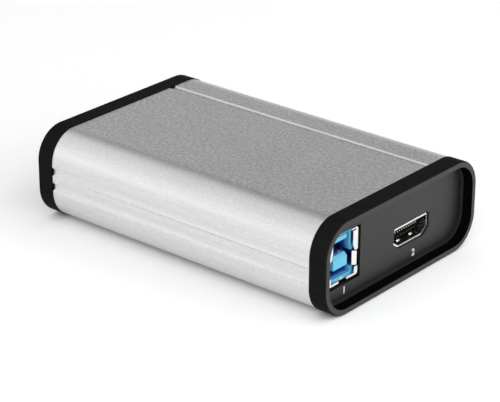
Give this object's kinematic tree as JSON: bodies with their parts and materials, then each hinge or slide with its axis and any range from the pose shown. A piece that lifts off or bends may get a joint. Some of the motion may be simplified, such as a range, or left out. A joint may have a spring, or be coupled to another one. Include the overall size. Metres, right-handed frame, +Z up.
{
  "type": "video capture box",
  "caption": "Video capture box: grooved aluminium tube with black end frames and recessed end plates, holding a circuit board with data, video output and video input sockets.",
  "frame": {"origin": "bottom centre of the box, on the surface that it stands on", "axes": "+X along the tube towards the end with the data socket and the video output, +Z up"},
  "size_m": [0.1, 0.065, 0.026],
  "materials": {
    "tube_alu": "bead-blasted and clear anodised",
    "frame_black": "moulded, fine satin texture",
    "plate_black": "moulded, fine satin texture",
    "board_green": "solder resist",
    "shell_steel": "nickel plated, bright",
    "insulator_blue": "moulded, satin",
    "insulator_black": "moulded, satin",
    "contact_gold": "gold plated",
    "chip_black": "moulded epoxy",
    "pad_grey": "matt",
    "sink_black": "black anodised",
    "crystal_steel": "plated",
    "inductor_grey": "pressed powder",
    "can_alu": "bright can",
    "capacitor_tan": "fired, with tin ends",
    "resistor_black": "glass coat, with tin ends",
    "lamp_white": "diffuse resin",
    "pipe_clear": "clear acrylic"
  },
  "bodies": {
    "root": {"housing_tube": "tube_alu", "output_end_frame": "frame_black", "output_end_plate": "plate_black", "input_end_frame": "frame_black", "input_end_plate": "plate_black", "circuit_board": "board_green", "data_socket_shell": "shell_steel", "data_socket_insulator": "insulator_blue", "data_socket_contacts": "contact_gold", "video_out_shell": "shell_steel", "video_out_insulator": "insulator_black", "video_out_contacts": "contact_gold", "video_in_shell": "shell_steel", "video_in_insulator": "insulator_black", "video_in_contacts": "contact_gold", "capture_processor": "chip_black", "heat_sink_pad": "pad_grey", "heat_sink": "sink_black", "video_receiver_chip": "chip_black", "video_splitter_chip": "chip_black", "data_controller_chip": "chip_black", "memory_chips": "chip_black", "program_memory_chip": "chip_black", "crystals": "crystal_steel", "power_inductors": "inductor_grey", "regulator_chips": "chip_black", "bulk_capacitors": "can_alu", "chip_capacitors": "capacitor_tan", "chip_resistors": "resistor_black", "status_lamp": "lamp_white", "light_pipe": "pipe_clear"}
  },
  "joints": []
}
